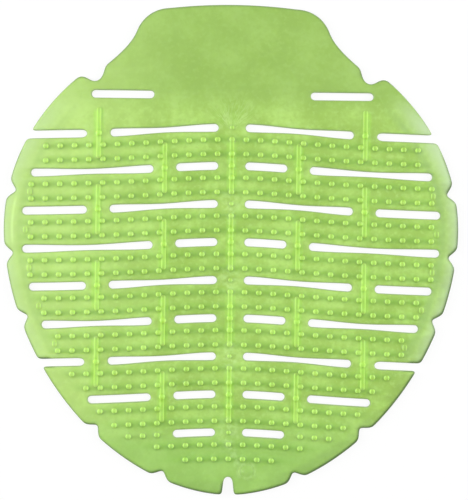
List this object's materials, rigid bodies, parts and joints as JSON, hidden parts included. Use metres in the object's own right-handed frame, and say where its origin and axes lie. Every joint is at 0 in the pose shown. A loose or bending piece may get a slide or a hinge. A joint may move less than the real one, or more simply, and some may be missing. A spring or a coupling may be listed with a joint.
{
  "type": "urinal deodorizer screen",
  "caption": "Flat flexible egg-shaped drain mat with a hand tab, rows of narrow drain slots, pointed splash pips, cross ribs and a notched rim.",
  "frame": {"origin": "middle of the whole outline, on the flat back that rests on the urinal's floor", "axes": "+Z out of the face that carries the pips, +Y up the face towards the hand tab, +X to the right seen from the face"},
  "size_m": [0.18, 0.1939, 0.0041],
  "materials": {
    "scented_eva": "soft satin, slightly translucent"
  },
  "bodies": {
    "root": {"screen": "scented_eva"}
  },
  "joints": []
}
